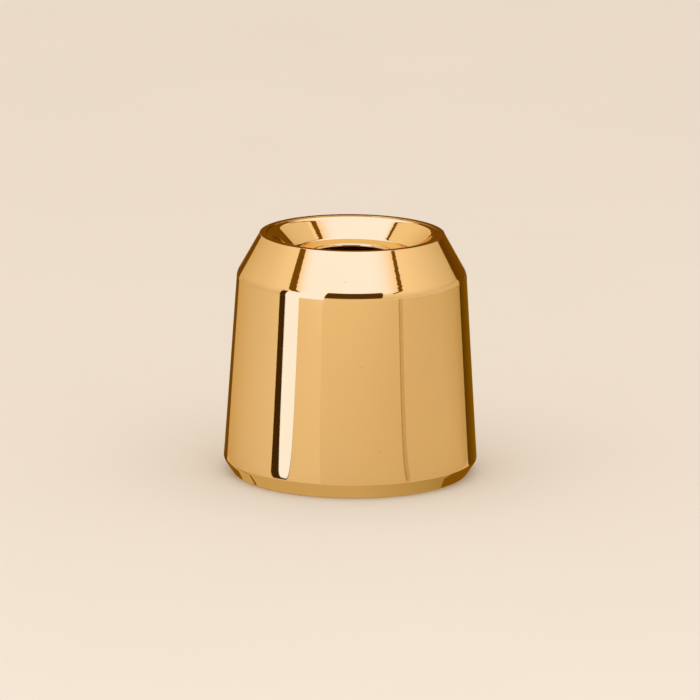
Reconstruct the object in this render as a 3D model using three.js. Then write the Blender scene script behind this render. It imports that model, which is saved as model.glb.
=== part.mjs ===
// A candle follower: a double-walled brass cap that sits on the burning end of a candle and slides down
// with it. Six turned and pressed rings share one axis. The frame is in millimetres, +Z up, with its origin
// at the centre of the foot, so the follower stands on z = 0.
import * as THREE from "three";

// The candle and the sleeve that guides it
const CANDLE_DIAMETER = 38.1; // a standard altar candle, 1.5 inch
const CANDLE_CLEARANCE = 0.8; // all round, so that the follower slides down freely
const SLEEVE_WALL = 0.9;
const SLEEVE_LEAD_IN = 0.5; // bevel that leads the candle into the sleeve

// The ring that closes the foot
const FOOT_RING_WIDTH = 1.3;
const FOOT_RING_THICKNESS = 1.5;
const FOOT_RING_RECESS = 0.4; // above the face that the shell stands on
const FOOT_STOP_WIDTH = 0.5; // lip inside the body that the ring is pressed up against
const FOOT_STOP_HEIGHT = 0.9;

// The outer shell, from the foot up: the tapered body and the crown that is soldered onto it
const SHELL_HEIGHT = 48.8;
const SHELL_WALL = 1.5;
const FOOT_LAND = 1.45; // flat ring that the shell stands on
const FOOT_LAND_ROUND = 0.25;
const FOOT_BEVEL_HEIGHT = 2.85;
const FOOT_BEVEL_WIDTH = 1.85;
const FOOT_EDGE_ROUND = 1.3;
const BODY_TAPER = 2.5; // the body draws in this much between the foot edge and the shoulder edge
const SHOULDER_EDGE_ROUND = 3.5;
const SHOULDER_HEIGHT = 8.1;
const SHOULDER_WIDTH = 4.55;
const RIM_LAND = 1.3; // flat ring on top of the crown
const RIM_ROUND = 0.12;
const LEDGE_WIDTH = 1.4; // carries the dish inside the rim
const LEDGE_THICKNESS = 1.2;
const SEAM_DROP = 0.5; // the crown meets the body this far below the rounding of the shoulder edge
const SEAM_LAP = 1.5; // the crown reaches this far down inside the body

// The flame dish that fills the rim, and its collar
const DISH_DEPTH = 3.9; // from the rim land down to the dish's floor
const DISH_STEP = 0.1; // the dish's edge lies this far below the rim land
const DISH_WALL = 0.9;
const DISH_BROW = 0.75; // level stretch inside the dish's edge
const DISH_BROW_ROUND = 1.7;
const DISH_SIDE_WIDTH = 3.95; // the dish's side draws in this much on its way down to the floor
const DISH_FLOOR_ROUND = 0.8;
const THROAT_DIAMETER = 15.6;
const THROAT_ROUND = 0.5;
const FLARE_WIDTH = 0.6; // lip of the collar, swaged outwards under the seat plate
const FLARE_THICKNESS = 0.6;

// The seat plate that rests on the wax
const SEAT_WALL = 1.0;
const SEAT_LANDING = 4.5; // flat ring that lies on the candle's shoulder
const SEAT_SPIGOT = 0.5; // reaches this far down into the sleeve

// Clearances between pieces
const JOINT_GAP = 0.1; // pressed, swaged and soldered joints
const RUNNING_GAP = 0.3; // pieces that pass without touching

// Fineness of the faceted surfaces
const SEGMENTS = 72;
const ARC_STEPS = 4;

const polishedBrass = new THREE.MeshStandardMaterial({ color: 0xe6b671, metalness: 1, roughness: 0.06 });
const satinBrass = new THREE.MeshStandardMaterial({ color: 0xc9a15c, metalness: 1, roughness: 0.35 });

// A point of the cross-section: its distance from the axis and its height.
function at(radius, height) {
  return new THREE.Vector2(radius, height);
}

// A straight line of the cross-section, moved sideways to the left of its direction.
class Line {
  constructor(start, end, aside = 0) {
    this.along = end.clone().sub(start).normalize();
    this.start = at(-this.along.y, this.along.x).multiplyScalar(aside).add(start);
  }
  heightAt(radius) {
    return this.start.y + ((radius - this.start.x) / this.along.x) * this.along.y;
  }
  radiusAt(height) {
    return this.start.x + ((height - this.start.y) / this.along.y) * this.along.x;
  }
  meets(other) {
    const reach = other.start.clone().sub(this.start).cross(other.along) / this.along.cross(other.along);
    return this.along.clone().multiplyScalar(reach).add(this.start);
  }
}

// One corner of a cross-section: its point, or the points of the arc that rounds it.
function cornerPoints(before, corner, after, round) {
  if (!round) return [corner];
  const toBefore = before.clone().sub(corner).normalize();
  const toAfter = after.clone().sub(corner).normalize();
  const halfAngle = toBefore.angleTo(toAfter) / 2;
  const turn = Math.sign(toAfter.cross(toBefore)) * (Math.PI - 2 * halfAngle);
  const middle = toBefore.clone().add(toAfter).normalize();
  const centre = middle.multiplyScalar(round / Math.sin(halfAngle)).add(corner);
  const arcStart = toBefore.multiplyScalar(round / Math.tan(halfAngle)).add(corner);
  return Array.from({ length: ARC_STEPS + 1 }, (_, step) =>
    arcStart.clone().rotateAround(centre, (turn * step) / ARC_STEPS),
  );
}

// A ring turned about +Z. Its cross-section is a list of [corner, rounding], with the metal on the left of
// the walk.
function turnedRing(name, material, corners) {
  const outline = corners.flatMap(([corner, round], i) => {
    const [before] = corners.at(i - 1);
    const [after] = corners[(i + 1) % corners.length];
    return cornerPoints(before, corner, after, round);
  });
  const geometry = new THREE.LatheGeometry([...outline, outline[0]], SEGMENTS);
  geometry.rotateX(Math.PI / 2);
  const ring = new THREE.Mesh(geometry, material);
  ring.name = name;
  return ring;
}

// Radii, outwards from the candle to the widest edge of the foot
const sleeveInside = CANDLE_DIAMETER / 2 + CANDLE_CLEARANCE;
const sleeveOutside = sleeveInside + SLEEVE_WALL;
const footRingInside = sleeveOutside + JOINT_GAP;
const footRingOutside = footRingInside + FOOT_RING_WIDTH;
const footSeat = footRingOutside + JOINT_GAP;
const footStop = footSeat - FOOT_STOP_WIDTH;

// Edges of the shell's outside, from the foot up to the rim
const footLandEdge = at(footSeat + FOOT_LAND, 0);
const footEdge = at(footLandEdge.x + FOOT_BEVEL_WIDTH, FOOT_BEVEL_HEIGHT);
const shoulderEdge = at(footEdge.x - BODY_TAPER, SHELL_HEIGHT - SHOULDER_HEIGHT);
const rimEdge = at(shoulderEdge.x - SHOULDER_WIDTH, SHELL_HEIGHT);
const recessEdge = at(rimEdge.x - RIM_LAND, SHELL_HEIGHT);

// Faces of the dish, and the faces of the ledge that it lies on
const dishEdge = at(recessEdge.x - JOINT_GAP, SHELL_HEIGHT - DISH_STEP);
const dishBrow = at(dishEdge.x - DISH_BROW, dishEdge.y);
const dishFloor = at(dishBrow.x - DISH_SIDE_WIDTH, SHELL_HEIGHT - DISH_DEPTH);
const throat = at(THROAT_DIAMETER / 2, dishFloor.y);
const browUnderside = new Line(dishEdge, dishBrow, DISH_WALL);
const sideUnderside = new Line(dishBrow, dishFloor, DISH_WALL);
const floorUnderside = new Line(dishFloor, throat, DISH_WALL);
const browBed = new Line(dishEdge, dishBrow, DISH_WALL + JOINT_GAP);
const sideBed = new Line(dishBrow, dishFloor, DISH_WALL + JOINT_GAP);
const collarOutside = throat.x + DISH_WALL;

// Inside of the shell, with the ledge under the crown's rim and the lip above the foot ring
const bodyInside = new Line(footEdge, shoulderEdge, SHELL_WALL);
const shoulderInside = new Line(shoulderEdge, rimEdge, SHELL_WALL);
const ledgeEdge = recessEdge.x - LEDGE_WIDTH;
const ledgeUnderside = sideBed.heightAt(ledgeEdge) - LEDGE_THICKNESS;
const footRingTop = FOOT_RING_RECESS + FOOT_RING_THICKNESS;
const footStopUnderside = footRingTop + JOINT_GAP;
const footStopTop = footStopUnderside + FOOT_STOP_HEIGHT;

// The seam between the body and the crown, which share the thickness of the wall where they lap
const bodyOutside = new Line(footEdge, shoulderEdge);
const [shoulderArcStart] = cornerPoints(footEdge, shoulderEdge, rimEdge, SHOULDER_EDGE_ROUND);
const bodyTop = shoulderArcStart.y - SEAM_DROP;
const crownFoot = bodyTop + JOINT_GAP;
const lapSeat = bodyOutside.radiusAt(bodyTop) - (SHELL_WALL - JOINT_GAP) / 2;
const lapFloor = bodyTop - SEAM_LAP;
const lapEnd = lapFloor + JOINT_GAP;

// The seat plate goes as high as it fits inside the crown, and its cone ends just under the dish
const seatClearance = sleeveOutside + RUNNING_GAP;
const seatTop = Math.min(shoulderInside.heightAt(seatClearance), bodyInside.heightAt(seatClearance));
const sleeveTop = seatTop - SEAT_WALL;
const landing = sleeveTop - SEAT_SPIGOT;
const spigot = sleeveInside - JOINT_GAP;
const coneBore = collarOutside + JOINT_GAP;
const coneTip = at(coneBore, floorUnderside.start.y - RUNNING_GAP - SEAT_WALL);
const coneFoot = at(spigot - SEAT_LANDING, landing);
const coneUnderside = new Line(coneFoot, coneTip);
const coneTop = new Line(at(coneFoot.x, coneFoot.y + SEAT_WALL), at(coneTip.x, coneTip.y + SEAT_WALL));
const seatTopFace = new Line(at(sleeveOutside, seatTop), at(coneFoot.x, seatTop));

function bodyShell() {
  return turnedRing("body_shell", polishedBrass, [
    [at(footSeat, 0)],
    [footLandEdge, FOOT_LAND_ROUND],
    [footEdge, FOOT_EDGE_ROUND],
    [at(bodyOutside.radiusAt(bodyTop), bodyTop)],
    [at(lapSeat, bodyTop)],
    [at(lapSeat, lapFloor)],
    [at(bodyInside.radiusAt(lapFloor), lapFloor)],
    [at(bodyInside.radiusAt(footStopTop), footStopTop)],
    [at(footStop, footStopTop)],
    [at(footStop, footStopUnderside)],
    [at(footSeat, footStopUnderside)],
  ]);
}

function crown() {
  return turnedRing("crown", polishedBrass, [
    [at(bodyOutside.radiusAt(crownFoot), crownFoot)],
    [shoulderEdge, SHOULDER_EDGE_ROUND],
    [rimEdge, RIM_ROUND],
    [recessEdge, RIM_ROUND],
    [at(recessEdge.x, browBed.start.y)],
    [browBed.meets(sideBed)],
    [at(ledgeEdge, sideBed.heightAt(ledgeEdge))],
    [at(ledgeEdge, ledgeUnderside)],
    [at(shoulderInside.radiusAt(ledgeUnderside), ledgeUnderside)],
    [shoulderInside.meets(bodyInside)],
    [at(bodyInside.radiusAt(lapEnd), lapEnd)],
    [at(lapSeat - JOINT_GAP, lapEnd)],
    [at(lapSeat - JOINT_GAP, crownFoot)],
  ]);
}

function flameDish() {
  const flareEdge = collarOutside + FLARE_WIDTH;
  const flareTop = (radius) => coneUnderside.heightAt(radius) - JOINT_GAP;
  const flareUnderside = (radius) => flareTop(radius) - FLARE_THICKNESS;
  return turnedRing("flame_dish", polishedBrass, [
    [browUnderside.start],
    [dishEdge],
    [dishBrow, DISH_BROW_ROUND],
    [dishFloor, DISH_FLOOR_ROUND],
    [throat, THROAT_ROUND],
    [at(throat.x, flareUnderside(throat.x))],
    [at(flareEdge, flareUnderside(flareEdge))],
    [at(flareEdge, flareTop(flareEdge))],
    [at(collarOutside, flareTop(collarOutside))],
    [at(collarOutside, floorUnderside.start.y)],
    [floorUnderside.meets(sideUnderside)],
    [sideUnderside.meets(browUnderside)],
  ]);
}

function seatPlate() {
  return turnedRing("seat_plate", satinBrass, [
    [coneTip],
    [coneFoot],
    [at(spigot, landing)],
    [at(spigot, sleeveTop)],
    [at(sleeveOutside, sleeveTop)],
    [at(sleeveOutside, seatTop)],
    [coneTop.meets(seatTopFace)],
    [at(coneTip.x, coneTip.y + SEAT_WALL)],
  ]);
}

function candleSleeve() {
  return turnedRing("candle_sleeve", satinBrass, [
    [at(sleeveInside + SLEEVE_LEAD_IN, FOOT_RING_RECESS)],
    [at(sleeveOutside, FOOT_RING_RECESS)],
    [at(sleeveOutside, sleeveTop)],
    [at(sleeveInside, sleeveTop)],
    [at(sleeveInside, FOOT_RING_RECESS + SLEEVE_LEAD_IN)],
  ]);
}

function footRing() {
  return turnedRing("foot_ring", satinBrass, [
    [at(footRingInside, FOOT_RING_RECESS)],
    [at(footRingOutside, FOOT_RING_RECESS)],
    [at(footRingOutside, footRingTop)],
    [at(footRingInside, footRingTop)],
  ]);
}

const candleFollower = new THREE.Group();
candleFollower.add(bodyShell(), crown(), flameDish(), seatPlate(), candleSleeve(), footRing());

export default candleFollower;
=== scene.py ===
"""A candle follower, a cap of polished brass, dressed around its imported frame.

Every piece is a ring turned about +Z, in metres, in the frame's own place. The studio around it is a pale
paper floor, an overhead softbox, and the cards and flags that polished metal needs to show its form.
"""

import math

import bpy
from bpy.props import FloatProperty, FloatVectorProperty, PointerProperty
from bpy.types import Operator, Panel, PropertyGroup
from mathutils import Euler, Matrix, Vector


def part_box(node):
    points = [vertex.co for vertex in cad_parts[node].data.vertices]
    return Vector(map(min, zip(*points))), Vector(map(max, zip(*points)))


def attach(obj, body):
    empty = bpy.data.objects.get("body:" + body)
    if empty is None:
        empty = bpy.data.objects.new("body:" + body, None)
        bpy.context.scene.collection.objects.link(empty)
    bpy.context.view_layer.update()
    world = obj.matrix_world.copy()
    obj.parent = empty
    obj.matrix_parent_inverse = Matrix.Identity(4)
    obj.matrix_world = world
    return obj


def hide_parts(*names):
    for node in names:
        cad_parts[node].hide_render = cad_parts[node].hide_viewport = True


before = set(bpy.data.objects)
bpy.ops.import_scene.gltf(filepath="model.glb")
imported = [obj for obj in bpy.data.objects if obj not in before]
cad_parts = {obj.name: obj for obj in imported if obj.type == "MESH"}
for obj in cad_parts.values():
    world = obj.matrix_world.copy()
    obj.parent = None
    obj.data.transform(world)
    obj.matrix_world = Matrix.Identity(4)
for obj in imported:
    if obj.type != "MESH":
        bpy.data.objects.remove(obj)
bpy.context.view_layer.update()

bl_info = {
    "name": "Candle Follower",
    "version": (1, 0, 0),
    "blender": (4, 5, 0),
    "location": "View3D > Sidebar > Follower",
    "description": "Builds a polished brass candle follower and the studio that it is shown in",
    "category": "Object",
}

MM = 0.001
BODY = "root"

# Fineness of the turned surfaces, and the radius of an edge that is only broken
SEGMENTS = 180
ARC_STEP = math.radians(3.0)
EDGE_BREAK = 0.04 * MM

# Values that meshes store for their materials
TOOL_PATH = "tool_path"
FADE = "fade"

# Places that the frame gives
BODY_LOW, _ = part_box("body_shell")
_, CROWN_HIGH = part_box("crown")
_, DISH_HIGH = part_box("flame_dish")
SEAT_LOW, SEAT_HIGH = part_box("seat_plate")
SLEEVE_LOW, SLEEVE_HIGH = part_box("candle_sleeve")
RING_LOW, RING_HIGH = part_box("foot_ring")

# Polished finish: lacquer patches, hairlines, roughness between and along them, and the share of the turning
# marks' depth that is left on the body
LACQUER_PATCH = 18.0 * MM
HAIRLINE_SPACING = 0.25 * MM
MIRROR_ROUGHNESS = 0.02
HAIRLINE_ROUGHNESS = 0.05
BUFFED_DEPTH = 0.06

# Where the turning marks deepen: heights above the shoulder's edge and below the dish's floor
SHOULDER_MARKS_RISE = 1.5 * MM
COLLAR_MARKS_START = 2.0 * MM
COLLAR_MARKS_FULL = 1.0 * MM

# Heat tint: how far outside the throat it starts, how far in from there it is full, and how strong
HEAT_START = 3.0 * MM
HEAT_REACH = 4.0 * MM
HEAT_SHARE = 0.2

# Specks: the share of the radius that is full, and how strong
SPECK_CORE = 0.4
SPECK_SHARE = 0.8

# Satin finish: levels of its pattern where it starts to dull and where it is dullest
DULL_START = 0.35
DULL_FULL = 0.7

# Tool marks in satin brass, coarser than real ones so that they show. The stretch is how many times longer
# than wide a drawing line is.
DRAWING_LINE_SPACING = 0.4 * MM
DRAWING_LINE_STRETCH = 50.0
PRESS_GRAIN_SIZE = 0.8 * MM
FACING_LINE_SPACING = 0.2 * MM

# Paper: breadth of its mottling, and the range of its tone
PAPER_MOTTLE = 60.0 * MM
PAPER_DARKEST = 0.985
PAPER_PALEST = 1.015

# Fineness of the cards: widest steps round the axis, fewest steps of a strip, and rings round the foot
CARD_STEP = math.radians(5.0)
STRIP_STEP = math.radians(3.0)
STRIP_STEPS = 16
FOOT_CARD_RINGS = 6

# Strips on the floor: their reach from the foot, and how deep and how square their near corners are rounded
STRIP_REACH = 470.0 * MM
STRIP_ROUNDING = 8.0 * MM
STRIP_SQUARENESS = 6

# A gel's drop below the softbox, and its colour where it is clear
GEL_DROP = 1.0 * MM
CLEAR = (1.0, 1.0, 1.0)

# Sensor in millimetres, nearest view and half the floor in metres, and elevation of the room's full light
SENSOR_WIDTH = 36.0
CLIP_START = 0.01
FLOOR_HALF = 8.0
SKY_ELEVATION = math.radians(40.0)


def linear(code):
    """An sRGB colour code such as #C08040 as linear red, green and blue."""
    shares = [int(code[i : i + 2], 16) / 255.0 for i in (1, 3, 5)]
    return [s / 12.92 if s <= 0.04045 else ((s + 0.055) / 1.055) ** 2.4 for s in shares]


def length(millimetres, name, description):
    """A size that the user can change."""
    return FloatProperty(name=name, description=description, default=millimetres * MM, min=0.0, unit="LENGTH")


def angle(degrees, name, description):
    """An angle that the user can change."""
    return FloatProperty(name=name, description=description, default=math.radians(degrees), unit="ROTATION")


def colour(code, name, description):
    """A colour that the user can change."""
    return FloatVectorProperty(
        name=name, description=description, default=linear(code), min=0.0, max=1.0, subtype="COLOR"
    )


class ShellSizes(PropertyGroup):
    """The outer shell, from the foot up to the rim"""

    wall: length(1.5, "Wall", "Thickness of the shell")
    foot_land: length(1.45, "Foot land", "Width of the flat ring that the shell stands on")
    foot_land_round: length(0.25, "Foot land rounding", "Radius where the foot land meets the bevel")
    bevel_height: length(2.85, "Bevel height", "Height of the bevel above the foot")
    bevel_width: length(1.85, "Bevel width", "How far the bevel spreads from the foot land")
    foot_edge_round: length(1.3, "Foot edge rounding", "Radius where the bevel meets the body")
    taper: length(2.5, "Taper", "How far the body draws in from the foot edge to the shoulder edge")
    shoulder_edge_round: length(3.5, "Shoulder edge rounding", "Radius where the body meets the shoulder")
    shoulder_height: length(8.1, "Shoulder height", "Height of the conical shoulder")
    shoulder_width: length(4.55, "Shoulder width", "How far the shoulder draws in")
    rim_land: length(1.3, "Rim land", "Width of the flat ring on top")
    rim_round: length(0.12, "Rim rounding", "Radius of the outer edge of the rim land")
    ledge_width: length(1.4, "Ledge width", "How far the ledge under the dish reaches in")
    ledge_thickness: length(1.2, "Ledge thickness", "Thickness of the ledge under the dish")
    stop_width: length(0.5, "Foot stop width", "How far the lip above the foot ring reaches in")
    stop_height: length(0.9, "Foot stop height", "Height of the lip above the foot ring")


class InnerSizes(PropertyGroup):
    """The dish, the seat plate, the sleeve and the foot ring"""

    joint_gap: length(0.1, "Joint gap", "Clearance at the pressed and swaged joints")
    dish_wall: length(0.9, "Dish wall", "Thickness of the dish and its collar")
    dish_depth: length(3.8, "Dish depth", "Height of the dish's edge above its floor")
    dish_brow: length(0.75, "Dish brow", "Width of the level stretch inside the dish's edge")
    dish_brow_round: length(1.7, "Dish brow rounding", "Radius where the brow turns down into the side")
    dish_side: length(3.95, "Dish side", "How far the dish's side draws in on its way down")
    dish_floor_round: length(0.8, "Dish floor rounding", "Radius where the side meets the floor")
    throat: length(15.6, "Throat", "Diameter of the hole through the dish")
    throat_round: length(0.5, "Throat rounding", "Radius where the dish turns down into the throat")
    flare_width: length(0.6, "Flare width", "Width of the collar's lip, swaged under the seat plate")
    flare_thickness: length(0.6, "Flare thickness", "Thickness of the collar's lip")
    seat_wall: length(1.0, "Seat wall", "Thickness of the seat plate")
    seat_landing: length(4.5, "Seat landing", "Width of the flat ring that the follower rests on")
    seat_spigot: length(0.5, "Seat spigot", "How far the seat plate reaches down into the sleeve")
    sleeve_wall: length(0.9, "Sleeve wall", "Thickness of the candle sleeve")
    sleeve_lead_in: length(0.5, "Sleeve lead-in", "Bevel round the mouth of the sleeve")
    foot_ring_width: length(1.3, "Foot ring width", "Width of the ring that closes the foot")


class BrassFinish(PropertyGroup):
    """The colours and marks of the brass"""

    polished: colour("#F3CF91", "Polished brass", "Colour of clean brass under lacquer")
    polished_deep: colour("#F1CA89", "Polished brass, deeper", "Colour where the lacquer lies thicker")
    grazing: colour("#F6E0B4", "Grazing brass", "Colour that the brass turns to when seen at a slant")
    speck: colour("#6E4A1E", "Specks", "Colour of pinholes in the lacquer")
    heat_tint: colour("#C58A45", "Heat tint", "Colour that heat leaves round the throat")
    satin: colour("#C9A15C", "Satin brass", "Colour of unpolished brass")
    satin_dull: colour("#A9814A", "Satin brass, dulled", "Colour where satin brass has dulled")
    turning_pitch: length(0.9, "Turning pitch", "Distance between turning marks on the shoulder and the dish")
    turning_depth: length(0.0105, "Turning depth", "Depth of the turning marks")
    speck_spacing: length(6.0, "Speck spacing", "Distance between places where a speck may lie")
    speck_size: length(0.14, "Speck size", "Radius of a speck")


class StudioSizes(PropertyGroup):
    """The camera, the light and the cards around the follower"""

    camera_distance: length(1171.8, "Camera distance", "From the centre of the foot")
    camera_elevation: angle(14.14, "Camera elevation", "Above the floor, seen from the centre of the foot")
    camera_tilt: angle(1.177, "Camera tilt", "How far the camera looks above the centre of the foot")
    camera_turn: angle(0.001, "Camera turn", "How far the camera looks to the left of the axis")
    camera_roll: angle(0.5, "Camera roll", "How far the camera leans")
    camera_lens: FloatProperty(
        name="Lens", description="Focal length on a 36 mm sensor", default=298.3, unit="CAMERA"
    )
    softbox_height: length(420.0, "Softbox height", "Height of the softbox above the rim")
    lamp_level: FloatProperty(name="Lamp level", description="Brightness of the softbox's lamp", default=0.4)
    card_level: FloatProperty(name="Card level", description="Brightness of the white cards", default=2.2)
    sky_level: FloatProperty(name="Sky level", description="Brightness of the room overhead", default=1.09)
    horizon_level: FloatProperty(
        name="Horizon level", description="Brightness of the room at floor level", default=0.78
    )
    paper: colour("#E4E1DA", "Paper", "Colour of the floor")
    sky: colour("#FFF1E3", "Sky", "Tint of the room's light")
    flag: colour("#432E06", "Flag", "Colour of the darkest flags")
    front_flag: colour("#593B04", "Front flag", "Colour of the flag that the shoulder's edge shows")
    brown_flag: colour("#7A560E", "Brown flag", "Colour of the flags that catch some light")
    band_flag: colour("#8A6A0A", "Band flag", "Colour of the flag that the body's right edge shows")
    card: colour("#BDCDFF", "Card", "Colour of the white cards, cool beside the warm room")
    foot_shade: colour("#D4C09A", "Foot shade", "Tone that the foot's bevel shows")
    body_gel: colour("#EEEADF", "Body gel", "Tint of the gel that darkens the front of the body")
    gel: colour("#E6E0D0", "Gel", "Tint of the gels that darken the body's right side")
    far_gel: colour("#EBE6DA", "Far gel", "Tint of the gel that darkens the body's left side")
    band_gel: colour("#ADA590", "Band gel", "Tint of the gel in front of the band flag")
    side_gel: colour("#F1F2EC", "Side gel", "Tint of the gel beside the band flag")
    bevel_gel: colour("#DAD7BF", "Bevel gel", "Tint that darkens the foot's bevel towards the right")
    foot_gel: colour("#A58A27", "Foot gel", "Tint of the dark ends of the foot's bevel")
    back_gel: colour("#E8E7DF", "Back gel", "Tint of the gel that dims the room behind on the right")
    left_gel: colour("#F7F5EE", "Left gel", "Tint of the gel that dims the room behind on the left")
    limb_gel: colour("#F0EDDA", "Limb gel", "Tint of the gel that dims the right end of the shoulder")
    edge_gel: colour("#FFD8A0", "Edge gel", "Tint of the softbox's light at its sides")


class CandleFollower(PropertyGroup):
    """Everything about the follower that a user would change"""

    shell: PointerProperty(type=ShellSizes, name="Shell", description="Sizes of the outer shell")
    inner: PointerProperty(type=InnerSizes, name="Inner pieces", description="Sizes of the inner pieces")
    finish: PointerProperty(type=BrassFinish, name="Finish", description="Colours and marks of the brass")
    studio: PointerProperty(type=StudioSizes, name="Studio", description="Camera, light and cards")


class Line:
    """A straight line of a cross-section, moved sideways to the left of its direction."""

    def __init__(self, start, end, aside=0.0):
        self.along = (Vector(end) - Vector(start)).normalized()
        self.start = Vector(start) + aside * Vector((-self.along.y, self.along.x))

    def height_at(self, radius):
        return self.start.y + (radius - self.start.x) / self.along.x * self.along.y

    def radius_at(self, height):
        return self.start.x + (height - self.start.y) / self.along.y * self.along.x

    def meets(self, other):
        reach = (other.start - self.start).cross(other.along) / self.along.cross(other.along)
        return self.start + reach * self.along


def outline_of(corners):
    """The points of a closed outline and the normals there.

    The metal lies on the left of the walk. A corner is (radius, height, rounding), or only (radius, height)
    where it is a broken edge.
    """
    points = []
    normals = []
    for i, (radius, height, *rounding) in enumerate(corners):
        corner = Vector((radius, height))
        heading = (corner - Vector(corners[i - 1][:2])).normalized()
        leaving = (Vector(corners[(i + 1) % len(corners)][:2]) - corner).normalized()
        turn = math.atan2(heading.cross(leaving), heading.dot(leaving))
        bend = math.copysign(max([EDGE_BREAK, *rounding]), turn)
        start = corner - heading * bend * math.tan(turn / 2)
        centre = start + bend * Vector((-heading.y, heading.x))
        steps = math.ceil(abs(turn) / ARC_STEP)
        for step in range(steps + 1):
            along = Matrix.Rotation(turn * step / steps, 2) @ heading
            outward = Vector((along.y, -along.x))
            points.append(centre + bend * outward)
            normals.append(outward)
    return points, normals


def add_object(name, data):
    """Adds an object to the scene."""
    thing = bpy.data.objects.new(name, data)
    bpy.context.collection.objects.link(thing)
    return thing


def mesh_object(name, places, faces, material):
    """Adds an object whose mesh has one material."""
    mesh = bpy.data.meshes.new(name)
    mesh.from_pydata(places, [], faces)
    mesh.materials.append(material)
    return add_object(name, mesh)


def turned_ring(name, corners, material):
    """A ring turned about +Z, with the exact normals of its surfaces and the tool's path along them."""
    points, normals = outline_of(corners)
    count = len(points)
    path = [0.0]
    for before, after in zip(points, points[1:]):
        path.append(path[-1] + (after - before).length)
    turns = [math.tau * j / SEGMENTS for j in range(SEGMENTS)]
    around = [(math.cos(turn), math.sin(turn)) for turn in turns]
    places = [(p.x * c, p.x * s, p.y) for c, s in around for p in points]
    directions = [(n.x * c, n.x * s, n.y) for c, s in around for n in normals]
    faces = []
    for j in range(SEGMENTS):
        here = j * count
        there = (j + 1) % SEGMENTS * count
        for i in range(count):
            after = (i + 1) % count
            faces.append((here + i, there + i, there + after, here + after))
    piece = mesh_object(name, places, faces, material)
    piece.data.attributes.new(TOOL_PATH, "FLOAT", "POINT").data.foreach_set("value", path * SEGMENTS)
    piece.data.shade_smooth()
    piece.data.normals_split_custom_set_from_vertices(directions)
    return piece


def place(piece, slot, *nodes):
    """Makes a piece ride on the follower's one body in place of CAD nodes."""
    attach(piece, BODY)
    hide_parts(*nodes)


def add_node(tree, kind, inputs=None, **settings):
    """Adds a node with its settings, and fills its inputs with values or with other nodes' outputs."""
    node = tree.nodes.new(kind)
    for name, value in settings.items():
        setattr(node, name, value)
    for name, value in (inputs or {}).items():
        if isinstance(value, bpy.types.NodeSocket):
            tree.links.new(value, node.inputs[name])
        else:
            node.inputs[name].default_value = value
    return node


def new_material(name):
    """An empty node material, and its node tree."""
    material = bpy.data.materials.new(name)
    material.use_nodes = True
    material.node_tree.nodes.clear()
    return material, material.node_tree


def opaque(rgb):
    """A linear colour with full alpha."""
    return (*rgb, 1.0)


# Socket numbers of a Mix node that mixes colours
MIX_FACTOR = 0
MIX_A = 6
MIX_B = 7
MIX_RESULT = 2


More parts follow.
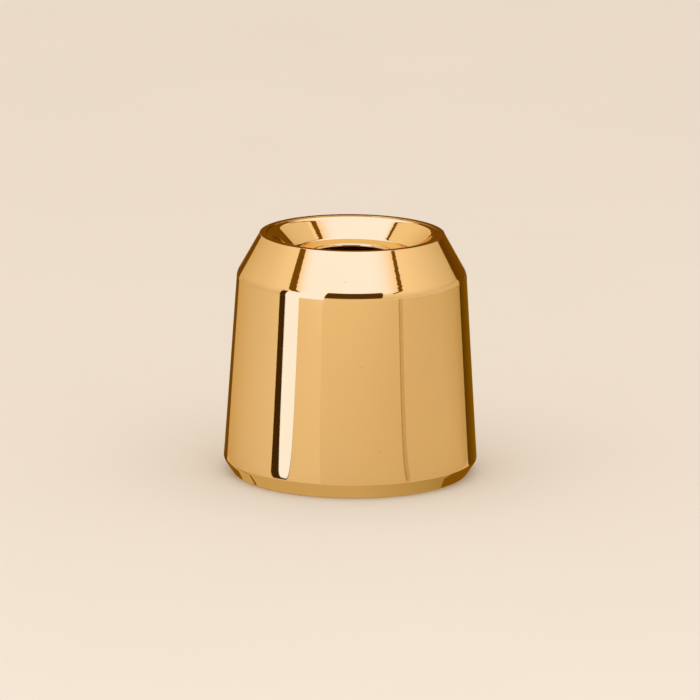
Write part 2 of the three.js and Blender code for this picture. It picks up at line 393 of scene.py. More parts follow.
def polished_brass(name, finish, marks_start, marks_full, throat_heat):
    """Brass, turned, mirror polished and lacquered.

    Buffing leaves a mirror with a warm yellow cast, and the lacquer a thin clear gloss over it. Turning marks
    that the buff didn't reach make the edges of reflections ragged above the height marks_full, and a few
    pinholes in the lacquer show as specks. Inside the radius throat_heat it is tinted by heat. Turning marks
    and hairlines are coarser than real ones so that they show.
    """
    material, tree = new_material(name)
    place_on = add_node(tree, "ShaderNodeTexCoord").outputs["Object"]
    apart = add_node(tree, "ShaderNodeSeparateXYZ", {"Vector": place_on})
    path = add_node(tree, "ShaderNodeAttribute", attribute_name=TOOL_PATH).outputs["Fac"]

    lacquer = add_node(
        tree, "ShaderNodeTexNoise", {"Vector": place_on, "Scale": 1.0 / LACQUER_PATCH, "Detail": 3.0}
    ).outputs["Fac"]
    across = add_node(tree, "ShaderNodeCombineXYZ", {"X": apart.outputs["X"], "Y": apart.outputs["Y"]})
    radius = add_node(
        tree, "ShaderNodeVectorMath", {0: across.outputs["Vector"]}, operation="LENGTH"
    ).outputs["Value"]
    heat = add_node(
        tree,
        "ShaderNodeMapRange",
        {
            "Value": radius,
            "From Min": throat_heat,
            "From Max": throat_heat - HEAT_REACH,
            "To Max": HEAT_SHARE,
        },
        interpolation_type="SMOOTHSTEP",
    ).outputs["Result"]

    cells = add_node(
        tree, "ShaderNodeTexVoronoi", {"Vector": place_on, "Scale": 1.0 / finish.speck_spacing}
    )
    speck_reach = finish.speck_size / finish.speck_spacing
    speck = add_node(
        tree,
        "ShaderNodeMapRange",
        {
            "Value": cells.outputs["Distance"],
            "From Min": speck_reach,
            "From Max": SPECK_CORE * speck_reach,
            "To Max": SPECK_SHARE,
        },
    ).outputs["Result"]

    tone = opaque(finish.polished)
    for share, over in ((lacquer, finish.polished_deep), (heat, finish.heat_tint), (speck, finish.speck)):
        tone = add_node(
            tree,
            "ShaderNodeMix",
            {MIX_FACTOR: share, MIX_A: tone, MIX_B: opaque(over)},
            data_type="RGBA",
        ).outputs[MIX_RESULT]

    hairlines = add_node(
        tree,
        "ShaderNodeTexNoise",
        {"W": path, "Scale": 1.0 / HAIRLINE_SPACING, "Detail": 2.0},
        noise_dimensions="1D",
    ).outputs["Fac"]
    roughness = add_node(
        tree,
        "ShaderNodeMapRange",
        {"Value": hairlines, "To Min": MIRROR_ROUGHNESS, "To Max": HAIRLINE_ROUGHNESS},
    ).outputs["Result"]

    marks = add_node(
        tree,
        "ShaderNodeTexNoise",
        {"W": path, "Scale": 1.0 / finish.turning_pitch, "Detail": 2.0, "Roughness": 0.6},
        noise_dimensions="1D",
    ).outputs["Fac"]
    depth = add_node(
        tree,
        "ShaderNodeMapRange",
        {
            "Value": apart.outputs["Z"],
            "From Min": marks_start,
            "From Max": marks_full,
            "To Min": BUFFED_DEPTH,
        },
        interpolation_type="SMOOTHSTEP",
    ).outputs["Result"]
    marked = add_node(
        tree, "ShaderNodeBump", {"Strength": depth, "Distance": finish.turning_depth, "Height": marks}
    ).outputs["Normal"]

    shader = add_node(
        tree,
        "ShaderNodeBsdfPrincipled",
        {
            "Base Color": tone,
            "Metallic": 1.0,
            "Roughness": roughness,
            "Normal": marked,
            "Specular Tint": opaque(finish.grazing),
            "Coat Weight": 0.12,
            "Coat Roughness": 0.03,
        },
    )
    add_node(tree, "ShaderNodeOutputMaterial", {"Surface": shader.outputs["BSDF"]})
    return material


def satin_brass(name, finish, lines, line_depth, dull_scale, roughness_range):
    """Brass that was drawn, pressed or turned and never polished.

    It scatters light softly, follows the lines that the tool left, and has dulled in soft patches. lines adds
    the nodes of those lines to the tree, and gives the output that holds their height.
    """
    material, tree = new_material(name)
    place_on = add_node(tree, "ShaderNodeTexCoord").outputs["Object"]
    patches = add_node(
        tree,
        "ShaderNodeTexNoise",
        {"Vector": place_on, "Scale": 1.0 / dull_scale, "Detail": 6.0, "Roughness": 0.6},
    ).outputs["Fac"]
    dulled = add_node(
        tree, "ShaderNodeMapRange", {"Value": patches, "From Min": DULL_START, "From Max": DULL_FULL}
    ).outputs["Result"]
    tone = add_node(
        tree,
        "ShaderNodeMix",
        {MIX_FACTOR: dulled, MIX_A: opaque(finish.satin), MIX_B: opaque(finish.satin_dull)},
        data_type="RGBA",
    ).outputs[MIX_RESULT]
    smooth, dull = roughness_range
    roughness = add_node(
        tree, "ShaderNodeMapRange", {"Value": patches, "To Min": smooth, "To Max": dull}
    ).outputs["Result"]
    lined = add_node(
        tree, "ShaderNodeBump", {"Distance": line_depth, "Height": lines(tree, place_on)}
    ).outputs["Normal"]
    shader = add_node(
        tree,
        "ShaderNodeBsdfPrincipled",
        {"Base Color": tone, "Metallic": 1.0, "Roughness": roughness, "Normal": lined},
    )
    add_node(tree, "ShaderNodeOutputMaterial", {"Surface": shader.outputs["BSDF"]})
    return material


def drawing_lines(tree, place_on):
    """Lines along the tube, as a drawing die leaves them."""
    stretch = (1.0, 1.0, 1.0 / DRAWING_LINE_STRETCH)
    stretched = add_node(tree, "ShaderNodeMapping", {"Vector": place_on, "Scale": stretch})
    return add_node(
        tree,
        "ShaderNodeTexNoise",
        {"Vector": stretched.outputs["Vector"], "Scale": 1.0 / DRAWING_LINE_SPACING, "Detail": 2.0},
    ).outputs["Fac"]


def press_grain(tree, place_on):
    """The pebbled skin of sheet that was pressed."""
    return add_node(
        tree, "ShaderNodeTexNoise", {"Vector": place_on, "Scale": 1.0 / PRESS_GRAIN_SIZE, "Detail": 2.0}
    ).outputs["Fac"]


def facing_lines(tree, _):
    """Rings that a facing tool leaves."""
    path = add_node(tree, "ShaderNodeAttribute", attribute_name=TOOL_PATH).outputs["Fac"]
    return add_node(
        tree, "ShaderNodeTexNoise", {"W": path, "Scale": 1.0 / FACING_LINE_SPACING}, noise_dimensions="1D"
    ).outputs["Fac"]


def shell_edges(shell, inner):
    """The sharp corners of the shell's outside, from the foot land up to the inner edge of the rim land."""
    foot_land = Vector((RING_HIGH.x + inner.joint_gap + shell.foot_land, BODY_LOW.z))
    foot = foot_land + Vector((shell.bevel_width, shell.bevel_height))
    shoulder = Vector((foot.x - shell.taper, CROWN_HIGH.z - shell.shoulder_height))
    rim = Vector((shoulder.x - shell.shoulder_width, CROWN_HIGH.z))
    recess = Vector((rim.x - shell.rim_land, CROWN_HIGH.z))
    return foot_land, foot, shoulder, rim, recess


def dish_corners(inner):
    """The corners of the dish's upper face: its edge, the brow, the floor and the throat."""
    edge = Vector((DISH_HIGH.x, DISH_HIGH.z))
    brow = edge - Vector((inner.dish_brow, 0.0))
    floor = brow - Vector((inner.dish_side, inner.dish_depth))
    throat = Vector((inner.throat / 2, floor.y))
    return edge, brow, floor, throat


def seat_bore(inner):
    """The radius of the hole in the seat plate that the dish's collar goes through."""
    return inner.throat / 2 + inner.dish_wall + inner.joint_gap


def cone_underside(inner):
    """The underside of the seat plate's cone, from the landing up to the collar."""
    spigot = SLEEVE_HIGH.x - inner.sleeve_wall - inner.joint_gap
    foot = Vector((spigot - inner.seat_landing, SEAT_LOW.z))
    return Line(foot, (seat_bore(inner), SEAT_HIGH.z - inner.seat_wall))


class FOLLOWER_OT_shell(Operator):
    """Turn the outer shell: the body and the crown, whose soldered seam is polished away"""

    bl_idname = "follower.shell"
    bl_label = "Outer shell"

    def execute(self, context):
        follower = context.scene.candle_follower
        shell = follower.shell
        inner = follower.inner
        foot_land, foot, shoulder, rim, recess = shell_edges(shell, inner)
        body_inside = Line(foot, shoulder, shell.wall)
        shoulder_inside = Line(shoulder, rim, shell.wall)
        fold = shoulder_inside.meets(body_inside)
        edge, brow, floor, _ = dish_corners(inner)
        brow_bed = Line(edge, brow, inner.dish_wall + inner.joint_gap)
        side_bed = Line(brow, floor, inner.dish_wall + inner.joint_gap)
        ledge = recess.x - shell.ledge_width
        ledge_underside = side_bed.height_at(ledge) - shell.ledge_thickness
        foot_seat = RING_HIGH.x + inner.joint_gap
        stop_underside = RING_HIGH.z + inner.joint_gap
        stop_top = stop_underside + shell.stop_height
        stop = foot_seat - shell.stop_width
        corners = [
            (foot_seat, foot_land.y),
            (*foot_land, shell.foot_land_round),
            (*foot, shell.foot_edge_round),
            (*shoulder, shell.shoulder_edge_round),
            (*rim, shell.rim_round),
            recess,
            (recess.x, brow_bed.start.y),
            brow_bed.meets(side_bed),
            (ledge, side_bed.height_at(ledge)),
            (ledge, ledge_underside),
            (shoulder_inside.radius_at(ledge_underside), ledge_underside),
            fold,
            (body_inside.radius_at(stop_top), stop_top),
            (stop, stop_top),
            (stop, stop_underside),
            (foot_seat, stop_underside),
        ]
        brass = polished_brass(
            "brass_turned_polished_lacquered",
            follower.finish,
            marks_start=shoulder.y,
            marks_full=shoulder.y + SHOULDER_MARKS_RISE,
            throat_heat=0.0,
        )
        piece = turned_ring("outer_shell_polished", corners, brass)
        place(piece, "polished_brass", "body_shell", "crown")
        return {"FINISHED"}


class FOLLOWER_OT_dish(Operator):
    """Press the dish that fills the rim, with its collar and swaged lip"""

    bl_idname = "follower.dish"
    bl_label = "Flame dish"

    def execute(self, context):
        follower = context.scene.candle_follower
        inner = follower.inner
        edge, brow, floor, throat = dish_corners(inner)
        brow_underside = Line(edge, brow, inner.dish_wall)
        side_underside = Line(brow, floor, inner.dish_wall)
        floor_underside = Line(floor, throat, inner.dish_wall)
        collar = throat.x + inner.dish_wall
        cone = cone_underside(inner)
        flare = collar + inner.flare_width
        top_of_flare = cone.start - Vector((0.0, inner.joint_gap))
        flare_top = Line(top_of_flare, top_of_flare + cone.along)
        foot_of_flare = top_of_flare - Vector((0.0, inner.flare_thickness))
        flare_foot = Line(foot_of_flare, foot_of_flare + cone.along)
        corners = [
            brow_underside.start,
            edge,
            (*brow, inner.dish_brow_round),
            (*floor, inner.dish_floor_round),
            (*throat, inner.throat_round),
            (throat.x, flare_foot.height_at(throat.x)),
            (flare, flare_foot.height_at(flare)),
            (flare, flare_top.height_at(flare)),
            (collar, flare_top.height_at(collar)),
            (collar, floor_underside.start.y),
            floor_underside.meets(side_underside),
            side_underside.meets(brow_underside),
        ]
        brass = polished_brass(
            "brass_pressed_polished_lacquered",
            follower.finish,
            marks_start=throat.y - COLLAR_MARKS_START,
            marks_full=throat.y - COLLAR_MARKS_FULL,
            throat_heat=throat.x + HEAT_START,
        )
        piece = turned_ring("flame_dish_polished", corners, brass)
        place(piece, "polished_brass", "flame_dish")
        return {"FINISHED"}


class FOLLOWER_OT_seat(Operator):
    """Press the seat plate that the follower rests on"""

    bl_idname = "follower.seat"
    bl_label = "Seat plate"

    def execute(self, context):
        follower = context.scene.candle_follower
        inner = follower.inner
        underside = cone_underside(inner)
        bore = seat_bore(inner)
        spigot = underside.start.x + inner.seat_landing
        raised = underside.start + Vector((0.0, inner.seat_wall))
        flange_top = SEAT_LOW.z + inner.seat_spigot + inner.seat_wall
        cone_top = Line(raised, raised + underside.along)
        corners = [
            (bore, underside.height_at(bore)),
            (*underside.start, inner.seat_wall),
            (spigot, SEAT_LOW.z),
            (spigot, SLEEVE_HIGH.z),
            (SEAT_HIGH.x, SLEEVE_HIGH.z),
            (SEAT_HIGH.x, flange_top),
            (cone_top.radius_at(flange_top), flange_top, inner.seat_wall),
            (bore, SEAT_HIGH.z),
        ]
        brass = satin_brass(
            "brass_sheet_pressed",
            follower.finish,
            lines=press_grain,
            line_depth=0.004 * MM,
            dull_scale=7.0 * MM,
            roughness_range=(0.24, 0.4),
        )
        piece = turned_ring("seat_plate_pressed", corners, brass)
        place(piece, "satin_brass", "seat_plate")
        return {"FINISHED"}


class FOLLOWER_OT_sleeve(Operator):
    """Draw the sleeve that guides the follower"""

    bl_idname = "follower.sleeve"
    bl_label = "Candle sleeve"

    def execute(self, context):
        follower = context.scene.candle_follower
        inner = follower.inner
        inside = SLEEVE_HIGH.x - inner.sleeve_wall
        corners = [
            (inside + inner.sleeve_lead_in, SLEEVE_LOW.z),
            (SLEEVE_HIGH.x, SLEEVE_LOW.z),
            (SLEEVE_HIGH.x, SLEEVE_HIGH.z),
            (inside, SLEEVE_HIGH.z),
            (inside, SLEEVE_LOW.z + inner.sleeve_lead_in),
        ]
        brass = satin_brass(
            "brass_tube_drawn",
            follower.finish,
            lines=drawing_lines,
            line_depth=0.006 * MM,
            dull_scale=12.0 * MM,
            roughness_range=(0.2, 0.36),
        )
        piece = turned_ring("candle_sleeve_drawn", corners, brass)
        place(piece, "satin_brass", "candle_sleeve")
        return {"FINISHED"}


class FOLLOWER_OT_foot_ring(Operator):
    """Turn the ring that closes the foot between the sleeve and the shell"""

    bl_idname = "follower.foot_ring"
    bl_label = "Foot ring"

    def execute(self, context):
        follower = context.scene.candle_follower
        inside = RING_HIGH.x - follower.inner.foot_ring_width
        corners = [
            (inside, RING_LOW.z),
            (RING_HIGH.x, RING_LOW.z),
            (RING_HIGH.x, RING_HIGH.z),
            (inside, RING_HIGH.z),
        ]
        brass = satin_brass(
            "brass_bar_turned",
            follower.finish,
            lines=facing_lines,
            line_depth=0.003 * MM,
            dull_scale=9.0 * MM,
            roughness_range=(0.18, 0.34),
        )
        piece = turned_ring("foot_ring_turned", corners, brass)
        place(piece, "satin_brass", "foot_ring")
        return {"FINISHED"}


def matt_paper(studio):
    """Seamless studio paper: matt, pale and faintly mottled, so it takes a soft shadow and no gloss."""
    material, tree = new_material("paper_seamless_matt")
    place_on = add_node(tree, "ShaderNodeTexCoord").outputs["Object"]
    mottle = add_node(
        tree, "ShaderNodeTexNoise", {"Vector": place_on, "Scale": 1.0 / PAPER_MOTTLE, "Detail": 4.0}
    ).outputs["Fac"]
    shade = add_node(
        tree, "ShaderNodeMapRange", {"Value": mottle, "To Min": PAPER_DARKEST, "To Max": PAPER_PALEST}
    ).outputs["Result"]
    tone = add_node(
        tree, "ShaderNodeVectorMath", {0: studio.paper, 1: shade}, operation="MULTIPLY"
    ).outputs["Vector"]
    shader = add_node(
        tree,
        "ShaderNodeBsdfPrincipled",
        {"Base Color": tone, "Roughness": 0.9, "Specular IOR Level": 0.0},
    )
    add_node(tree, "ShaderNodeOutputMaterial", {"Surface": shader.outputs["BSDF"]})
    return material


def lit_card(name, rgb, level):
    """A card or flag that shows an even tone in the metal, whatever light falls on it."""
    material, tree = new_material(name)
    glow = add_node(tree, "ShaderNodeEmission", {"Color": opaque(rgb), "Strength": level})
    add_node(tree, "ShaderNodeOutputMaterial", {"Surface": glow.outputs["Emission"]})
    return material


def finish_gel(tree, rgb, share):
    """Ends the nodes of a gel, which tints what the metal mirrors through it by a share from 0 to 1."""
    tint = add_node(
        tree,
        "ShaderNodeMix",
        {MIX_FACTOR: share, MIX_A: opaque(CLEAR), MIX_B: opaque(rgb)},
        data_type="RGBA",
    ).outputs[MIX_RESULT]
    film = add_node(tree, "ShaderNodeBsdfTransparent", {"Color": tint})
    add_node(tree, "ShaderNodeOutputMaterial", {"Surface": film.outputs["BSDF"]})


def graded_gel(name, rgb, clear_turn, full_turn):
    """A gel whose tint deepens with the bearing, from clear at one turn round the axis to full at another."""
    material, tree = new_material(name)
    place_on = add_node(tree, "ShaderNodeTexCoord").outputs["Object"]
    apart = add_node(tree, "ShaderNodeSeparateXYZ", {"Vector": place_on})
    nearer = add_node(tree, "ShaderNodeMath", {0: apart.outputs["Y"], 1: -1.0}, operation="MULTIPLY")
    turn = add_node(
        tree, "ShaderNodeMath", {0: apart.outputs["X"], 1: nearer.outputs["Value"]}, operation="ARCTAN2"
    ).outputs["Value"]
    share = add_node(
        tree, "ShaderNodeMapRange", {"Value": turn, "From Min": clear_turn, "From Max": full_turn}
    ).outputs["Result"]
    finish_gel(tree, rgb, share)
    return material


def fading_gel(name, rgb, power):
    """A gel whose tint follows the fades of its sheet.

    The higher the power, the faster the tint clears from its full edge.
    """
    material, tree = new_material(name)
    fade = add_node(tree, "ShaderNodeAttribute", attribute_name=FADE).outputs["Fac"]
    share = add_node(tree, "ShaderNodeMath", {0: fade, 1: power}, operation="POWER").outputs["Value"]
    finish_gel(tree, rgb, share)
    return material


def card_materials(studio):
    """The materials of the cards, flags and gels, by name."""
    # Colour and brightness
    boards = {
        "flag_dark_felt": (studio.flag, 1.0),
        "flag_front_felt": (studio.front_flag, 1.0),
        "flag_brown_felt": (studio.brown_flag, 1.0),
        "flag_band_felt": (studio.band_flag, 1.0),
        "card_white_board": (studio.card, studio.card_level),
        "card_foot_shade": (studio.foot_shade, 1.0),
    }
    # Tint, and the turns in degrees where it is clear and where it is full
    graded = {
        "gel_body": (studio.body_gel, -80.0, 40.0),
        "gel_line": (studio.gel, -60.0, 70.0),
        "gel_right": (studio.gel, 92.0, 150.0),
        "gel_bevel": (studio.bevel_gel, 5.0, 49.0),
        "gel_foot_right": (studio.foot_gel, 150.0, 100.0),
        "gel_foot_left": (studio.foot_gel, -150.0, -100.0),
        "gel_back": (studio.back_gel, 70.0, 130.0),
        "gel_back_left": (studio.left_gel, -85.0, -105.0),
        "gel_limb": (studio.limb_gel, 95.0, 140.0),
    }
    # Tint, and the power of its fade
    fading = {
        "gel_softbox_sides": (studio.edge_gel, 3.0),
        "gel_band_flag": (studio.band_gel, 1.6),
        "gel_band_side": (studio.side_gel, 1.3),
        "gel_left_side": (studio.far_gel, 1.1),
    }
    materials = {name: lit_card(name, tone, level) for name, (tone, level) in boards.items()}
    for name, (tint, clear_turn, full_turn) in graded.items():
        materials[name] = graded_gel(name, tint, math.radians(clear_turn), math.radians(full_turn))
    for name, (tint, power) in fading.items():
        materials[name] = fading_gel(name, tint, power)
    return materials


def stage_mesh(name, corners, faces, material):
    """A flat or folded sheet of the stage."""
    sheet = mesh_object(name, corners, faces, material)
    return sheet


def reflected_only(sheet):
    """Keeps a card out of the picture and out of the light: only the metal shows it."""
    sheet.visible_camera = False
    sheet.visible_diffuse = False
    sheet.visible_transmission = False
    sheet.visible_shadow = False


def set_fades(sheet, fades):
    """Stores how deep a gel's tint is at each corner of its sheet, from 0 for clear to 1 for full."""
    sheet.data.attributes.new(FADE, "FLOAT", "POINT").data.foreach_set("value", fades)


def in_radians(*pairs):
    """Pairs of angles in degrees as radians."""
    return [[math.radians(value) for value in pair] for pair in pairs]


def bearing(turn):
    """The level direction at that turn round the axis: 0 towards the camera, a quarter turn to its right."""
    return Vector((math.sin(turn), -math.cos(turn), 0.0))


def between(ends, share):
    """The value that lies a share of the way from the first of two ends to the second."""
    return ends[0] + (ends[1] - ends[0]) * share


def grid_faces(steps, row):
    """The faces of a sheet whose corners were made a row at a time."""
    return [
        (row * step + i, row * step + i + 1, row * (step + 1) + i + 1, row * (step + 1) + i)
        for step in range(steps)
        for i in range(row - 1)
    ]


def floor_card(name, material, foot_radius, low_turns, high_turns, near, lift):
    """A strip on the floor that the body mirrors, from its foot up to its shoulder.

    It is mirrored between low_turns round the axis at the foot and high_turns at the shoulder. It starts at
    the distance near from the foot, with its corners rounded, and lies as high as lift. A gel's fade runs
    across it, from clear at the first turn to full.
    """
    steps = max(STRIP_STEPS, math.ceil(abs(low_turns[1] - low_turns[0]) / STRIP_STEP))
    corners = []
    fades = []
    for step in range(steps + 1):
        share = step / steps
        start = near + STRIP_ROUNDING * (2.0 * share - 1.0) ** STRIP_SQUARENESS
        for turns, reach in ((low_turns, start), (high_turns, STRIP_REACH)):
            turn = between(turns, share)
            foot = foot_radius * bearing(turn) + Vector((0.0, 0.0, lift))
            corners.append(foot + reach * bearing(2 * turn))
            fades.append(share)
    sheet = stage_mesh(name, corners, grid_faces(steps, row=2), material)
    set_fades(sheet, fades)
    reflected_only(sheet)


def foot_card(name, material, radii, inner_turns, outer_turns, lift):
    """A ring, or a part of one, on the floor round the foot.

    It lies between inner_turns round the axis at the first of radii and outer_turns at the second.
    """
    widest = max(end - start for start, end in (inner_turns, outer_turns))
    steps = math.ceil(widest / CARD_STEP)
    corners = []
    for step in range(steps + 1):
        turns = [between(ends, step / steps) for ends in (inner_turns, outer_turns)]
        for ring in range(FOOT_CARD_RINGS + 1):
            share = ring / FOOT_CARD_RINGS
            level = between(radii, share) * bearing(between(turns, share))
            corners.append(level + Vector((0.0, 0.0, lift)))
    faces = grid_faces(steps, row=FOOT_CARD_RINGS + 1)
    reflected_only(stage_mesh(name, corners, faces, material))


def wall_card(name, material, radius, turns, lows, highs):
    """A curved card that stands round the follower between two turns.

    Its lower edge goes from the first of the elevations lows to the second, and its upper edge by highs.
    """
    steps = math.ceil((turns[1] - turns[0]) / CARD_STEP)
    corners = []
    for step in range(steps + 1):
        share = step / steps
        foot = radius * bearing(between(turns, share))
        for elevations in (lows, highs):
            rise = radius * math.tan(between(elevations, share))
            corners.append(foot + Vector((0.0, 0.0, rise)))
    reflected_only(stage_mesh(name, corners, grid_faces(steps, row=2), material))


def overhead_card(name, material, height, corners):
    """A flat card level with the softbox. Its corners are given in softbox heights."""
    level = CROWN_HIGH.z + height
    places = [(x * height, y * height, level) for x, y in corners]
    reflected_only(stage_mesh(name, places, [range(len(places))], material))


def overhead_gel(name, material, height, edge, clear_edge):
    """A gel just under the softbox, from one of its sides to the line where the gel has faded to clear."""
    level = CROWN_HIGH.z + height - GEL_DROP
    places = [(x * height, y * height, level) for x, y in edge + clear_edge]
    sheet = stage_mesh(name, places, grid_faces(1, row=len(edge)), material)
    set_fades(sheet, [1.0] * len(edge) + [0.0] * len(clear_edge))
    reflected_only(sheet)


# The softbox from above, in softbox heights from the axis: the sides of its face, the outer sides of its
# lips, and the lines where its gels are clear. Left ones run from front to back, and right ones back again.
LEFT_EDGE = [(-1.85, -1.38), (-1.15, -0.47), (-0.65, 0.1), (-0.53, 0.6), (-0.5, 1.15)]
RIGHT_EDGE = [(0.46, 1.15), (0.46, 0.6), (0.53, 0.1), (0.985, -0.63), (1.285, -1.38)]
LEFT_LIP = [(-2.37, -1.38), (-1.49, -0.47), (-0.725, 0.1), (-0.57, 0.6), (-0.51, 1.15)]
RIGHT_LIP = [(0.55, 1.15), (0.55, 0.6), (0.625, 0.1), (1.12, -0.63), (1.42, -1.38)]
LEFT_CLEAR = [(-0.95, -1.38), (-0.45, -0.47), (-0.5, 0.1), (-0.38, 0.6), (-0.35, 1.15)]
RIGHT_CLEAR = [(0.19, 1.15), (0.19, 0.6), (0.26, 0.1), (0.015, -0.63), (0.3, -1.38)]

# Opposite corners of its lamp
LAMP_LOW = (-2.6, -3.0)
LAMP_HIGH = (2.4, -0.6)


def hang_softbox(studio, materials):
    """The softbox's face, its lips, and the gels that warm its light towards the sides."""
    height = studio.softbox_height
    brown = materials["flag_brown_felt"]
    warm = materials["gel_softbox_sides"]
    overhead_card("softbox_face", materials["card_white_board"], height, LEFT_EDGE + RIGHT_EDGE)
    overhead_card("lip_left", brown, height, LEFT_LIP + LEFT_EDGE[::-1])
    overhead_card("lip_right", brown, height, RIGHT_LIP + RIGHT_EDGE[::-1])
    overhead_gel("gel_left", warm, height, LEFT_EDGE, LEFT_CLEAR)
    overhead_gel("gel_right", warm, height, RIGHT_EDGE, RIGHT_CLEAR)


def add_lamp(studio):
    """The softbox's lamp, which lights the floor. The metal mirrors the softbox's face instead."""
    height = studio.softbox_height
    lamp = bpy.data.lights.new("softbox", "AREA")
    lamp.shape = "RECTANGLE"
    lamp.size = (LAMP_HIGH[0] - LAMP_LOW[0]) * height
    lamp.size_y = (LAMP_HIGH[1] - LAMP_LOW[1]) * height
    lamp.energy = studio.lamp_level * math.pi * lamp.size * lamp.size_y
    holder = add_object("softbox", lamp)
    middle = [(low + high) / 2 * height for low, high in zip(LAMP_LOW, LAMP_HIGH)]
    holder.location = (*middle, CROWN_HIGH.z + height)
    holder.visible_camera = False
    holder.visible_glossy = False


def add_camera(studio):
    """The camera, with the photograph's distance, height, lens and slight lean."""
    camera = bpy.data.cameras.new("camera")
    camera.lens = studio.camera_lens
    camera.sensor_width = SENSOR_WIDTH
    camera.clip_start = CLIP_START
    holder = add_object("camera", camera)
    back = math.cos(studio.camera_elevation)
    up = math.sin(studio.camera_elevation)
    holder.location = studio.camera_distance * Vector((0.0, -back, up))
    aim = (-holder.location).to_track_quat("-Z", "Y")
    lean = Euler((studio.camera_tilt, studio.camera_turn, studio.camera_roll)).to_quaternion()
    holder.rotation_euler = (aim @ lean).to_euler()
    bpy.context.scene.camera = holder


def light_room(studio):
    """Faintly warm light from all round, full overhead and weaker towards the horizon."""
    world = bpy.data.worlds.new("room")
    world.use_nodes = True
    tree = world.node_tree
    tree.nodes.clear()
    direction = add_node(tree, "ShaderNodeTexCoord").outputs["Generated"]
    apart = add_node(tree, "ShaderNodeSeparateXYZ", {"Vector": direction})
    level = add_node(
        tree,
        "ShaderNodeMapRange",
        {
            "Value": apart.outputs["Z"],
            "From Max": math.sin(SKY_ELEVATION),
            "To Min": studio.horizon_level,
            "To Max": studio.sky_level,
        },
    ).outputs["Result"]
    sky = add_node(tree, "ShaderNodeBackground", {"Color": opaque(studio.sky), "Strength": level})
    add_node(tree, "ShaderNodeOutputWorld", {"Surface": sky.outputs["Background"]})
    bpy.context.scene.world = world


def lay_floor(studio):
    """The paper floor, which reaches far past the view."""
    signs = ((-1, -1), (1, -1), (1, 1), (-1, 1))
    corners = [(x * FLOOR_HALF, y * FLOOR_HALF, 0.0) for x, y in signs]
    stage_mesh("floor", corners, [range(len(corners))], matt_paper(studio))


# Strips on the floor that the body mirrors: material, turns at the foot and at the shoulder in degrees, and
# distance from the foot and lift above the floor in millimetres
STRIPS = {
    "gel_over_body": ("gel_body", (-12.9, 68.0), (-14.4, 68.0), 14.0, 0.3),
    "gel_over_line": ("gel_line", (25.8, 26.5), (23.6, 24.3), 20.0, 0.5),
    "gel_beside_line": ("gel_line", (25.8, 27.9), (23.6, 25.7), 20.0, 0.6),
    "gel_over_right": ("gel_right", (26.0, 68.0), (24.0, 68.0), 14.0, 0.4),
    "gel_over_left": ("gel_left_side", (-38.2, -75.3), (-38.0, -76.5), 14.0, 0.3),
    "gel_over_band": ("gel_band_flag", (86.0, 68.0), (86.0, 68.0), 10.0, 0.4),
    "gel_beside_band": ("gel_band_side", (59.0, 68.0), (59.0, 68.0), 14.0, 0.5),
    "strip_dark_left": ("flag_dark_felt", (-38.2, -28.6), (-38.0, -26.7), 21.0, 0.2),
    "strip_white_left": ("card_white_board", (-33.8, -28.6), (-34.5, -26.7), 23.5, 0.4),
    "strip_dark_right": ("flag_band_felt", (68.0, 86.0), (68.0, 86.0), 10.0, 0.2),
    "strip_dark_far_left": ("flag_brown_felt", (-86.0, -75.3), (-86.0, -76.5), 10.0, 0.2),
}

# Rings and parts of rings on the floor, most of them for the foot's bevel: material, radii in radii of the
# foot, turns at each radius in degrees, and lift above the floor in millimetres
BEVEL_RADII = (0.88, 1.3)
FOOT_CARDS = {
    "ring_foot_shade": ("card_foot_shade", (0.7, 1.25), (-180.0, 180.0), (-180.0, 180.0), 0.1),
    "card_floor_left": ("card_white_board", (18.2, 19.6), (-55.0, -26.5), (-55.0, -26.5), 0.6),
    "gel_over_bevel": ("gel_bevel", BEVEL_RADII, (5.0, 46.4), (5.0, 70.4), 0.2),
    "gel_over_foot_right": ("gel_foot_right", BEVEL_RADII, (46.4, 150.0), (70.4, 150.0), 0.2),
    "gel_over_foot_left": ("gel_foot_left", BEVEL_RADII, (-150.0, -58.7), (-150.0, -102.3), 0.2),
    "line_foot_left": ("flag_brown_felt", BEVEL_RADII, (-47.4, -45.8), (-86.2, -84.6), 0.3),
}

# Cards, flags and gels that stand round the follower: material, radius in metres, and in degrees the turns of
# its ends and the elevations of its lower and upper edge at those ends
WALLS = {
    "flag_back": ("flag_brown_felt", 0.5, (132.0, 196.0), (0.0, 0.0), (24.0, 24.0)),
    "flag_back_low": ("flag_brown_felt", 0.5, (196.0, 212.0), (0.0, 0.0), (9.0, 9.0)),
    "flag_back_right": ("flag_brown_felt", 0.5, (146.0, 166.0), (24.0, 24.0), (28.0, 43.0)),
    "flag_back_middle": ("flag_brown_felt", 0.5, (166.0, 180.0), (24.0, 24.0), (43.0, 24.0)),
    "flag_back_left": ("flag_brown_felt", 0.5, (180.0, 194.0), (24.0, 24.0), (24.0, 40.0)),
    "flag_front": ("flag_front_felt", 0.5, (-26.5, 29.5), (11.0, 11.0), (43.0, 43.0)),
    "flag_front_end": ("flag_front_felt", 0.5, (29.5, 35.0), (11.0, 43.0), (43.0, 43.0)),
    "card_front_left": ("card_white_board", 0.5, (-55.0, -26.5), (0.0, 0.0), (36.0, 36.0)),
    "card_post_left": ("card_white_board", 0.5, (-67.2, -55.0), (0.0, 0.0), (29.0, 29.0)),
    "flag_post_left": ("flag_dark_felt", 0.5, (-74.0, -67.2), (0.0, 0.0), (26.0, 26.0)),
    "gel_back_right": ("gel_back", 0.48, (72.0, 150.0), (12.0, 12.0), (56.0, 56.0)),
    "gel_back_left": ("gel_back_left", 0.48, (-160.0, -84.0), (0.0, 0.0), (56.0, 56.0)),
    "gel_limb_right": ("gel_limb", 0.46, (95.0, 150.0), (0.0, 0.0), (28.0, 12.0)),
}


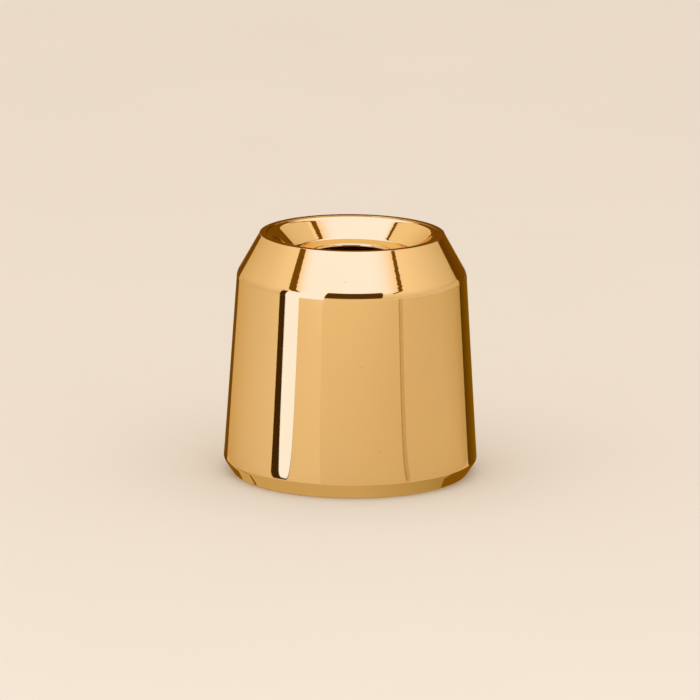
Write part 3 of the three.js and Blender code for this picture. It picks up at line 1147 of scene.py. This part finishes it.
class FOLLOWER_OT_stage(Operator):
    """Set up the camera, the paper floor, the softbox, and the cards and flags that the brass mirrors"""

    bl_idname = "follower.stage"
    bl_label = "Stage"

    def execute(self, context):
        follower = context.scene.candle_follower
        studio = follower.studio
        add_camera(studio)
        light_room(studio)
        lay_floor(studio)
        add_lamp(studio)
        materials = card_materials(studio)
        hang_softbox(studio, materials)
        _, foot, _, _, _ = shell_edges(follower.shell, follower.inner)
        for name, (material, low_turns, high_turns, near, lift) in STRIPS.items():
            turns = in_radians(low_turns, high_turns)
            floor_card(name, materials[material], foot.x, *turns, near * MM, lift * MM)
        for name, (material, shares, inner_turns, outer_turns, lift) in FOOT_CARDS.items():
            radii = [share * foot.x for share in shares]
            turns = in_radians(inner_turns, outer_turns)
            foot_card(name, materials[material], radii, *turns, lift * MM)
        for name, (material, radius, *angles) in WALLS.items():
            wall_card(name, materials[material], radius, *in_radians(*angles))
        context.scene.view_settings.view_transform = "Standard"
        return {"FINISHED"}


class FOLLOWER_PT_panel(Panel):
    """The follower's pieces and its studio, in the order that they are made"""

    bl_idname = "FOLLOWER_PT_panel"
    bl_label = "Candle Follower"
    bl_space_type = "VIEW_3D"
    bl_region_type = "UI"
    bl_category = "Follower"

    def draw(self, context):
        for step in STEPS:
            self.layout.operator(step.bl_idname)


STEPS = (
    FOLLOWER_OT_shell,
    FOLLOWER_OT_dish,
    FOLLOWER_OT_seat,
    FOLLOWER_OT_sleeve,
    FOLLOWER_OT_foot_ring,
    FOLLOWER_OT_stage,
)
CLASSES = (
    ShellSizes,
    InnerSizes,
    BrassFinish,
    StudioSizes,
    CandleFollower,
    *STEPS,
    FOLLOWER_PT_panel,
)


def register():
    for cls in CLASSES:
        bpy.utils.register_class(cls)
    bpy.types.Scene.candle_follower = PointerProperty(type=CandleFollower)


def unregister():
    del bpy.types.Scene.candle_follower
    for cls in reversed(CLASSES):
        bpy.utils.unregister_class(cls)


def main():
    """Builds the follower and its studio."""
    register()
    bpy.ops.follower.shell()
    bpy.ops.follower.dish()
    bpy.ops.follower.seat()
    bpy.ops.follower.sleeve()
    bpy.ops.follower.foot_ring()
    bpy.ops.follower.stage()


if __name__ == "__main__":
    main()
